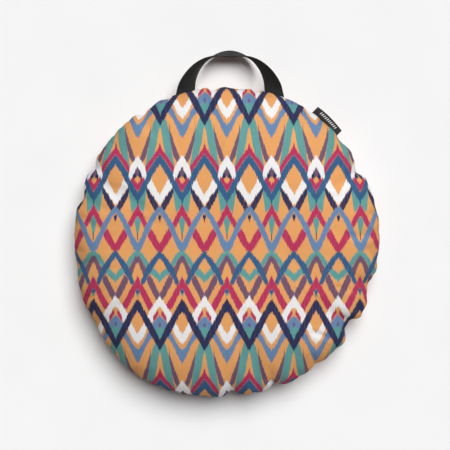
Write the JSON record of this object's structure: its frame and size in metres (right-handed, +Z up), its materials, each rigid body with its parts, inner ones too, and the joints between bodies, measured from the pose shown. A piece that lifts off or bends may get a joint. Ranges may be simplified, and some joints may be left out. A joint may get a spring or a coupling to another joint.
{
  "type": "round floor cushion",
  "caption": "Round stuffed floor cushion with a puckered edge seam, a webbing carry handle, a seam label and a zipped underside.",
  "frame": {"origin": "centre of the flat underside, where the cushion rests on the floor", "axes": "+Z up through the crown, +Y towards the carry handle, +X to the right along the zip"},
  "size_m": [0.52, 0.5922, 0.112],
  "materials": {
    "cover_print": "printed cotton canvas, matt",
    "bag_cloth": "undyed cotton, matt",
    "fibre": "white polyester fibre",
    "webbing": "black ribbed webbing",
    "label": "black woven tape",
    "zip_tape": "woven zip tape",
    "zip_coil": "satin nylon coil",
    "zip_metal": "nickel plate"
  },
  "bodies": {
    "cover": {"top_panel": "cover_print", "bottom_panel_rear": "cover_print", "bottom_panel_front": "cover_print", "inner_bag_top": "bag_cloth", "inner_bag_bottom": "bag_cloth", "fibre_filling": "fibre", "handle_tail_left": "webbing", "handle_tail_right": "webbing", "label_tail": "label", "zip_tape_rear": "zip_tape", "zip_tape_front": "zip_tape", "zip_coil_rear": "zip_coil", "zip_coil_front": "zip_coil", "zip_top_stop_rear": "zip_metal", "zip_top_stop_front": "zip_metal", "zip_bottom_stop": "zip_metal"},
    "handle": {"handle_strap": "webbing"},
    "label": {"label_flap": "label"},
    "slider": {"zip_slider": "zip_metal"},
    "pull": {"zip_pull": "zip_metal"}
  },
  "joints": [
    {"name": "handle_flex", "type": "hinge", "parent": "cover", "child": "handle", "pos_m": [0, 0.258, 0.046], "axis": [1, 0, 0], "range_deg": [-35, 105]},
    {"name": "label_flex", "type": "hinge", "parent": "cover", "child": "label", "pos_m": [0.16873, 0.20109, 0.046], "axis": [0.7071, -0.7071, 0], "range_deg": [-75, 75], "stiffness_Nm_per_rad": 0.002},
    {"name": "zip_slide", "type": "slide", "parent": "cover", "child": "slider", "axis": [-1, 0, 0], "range_m": [0, 0.268]},
    {"name": "zip_pull_flip", "type": "hinge", "parent": "slider", "child": "pull", "pos_m": [0.134, -0.07, 0.0015], "axis": [0, -1, 0], "range_deg": [0, 160]}
  ]
}
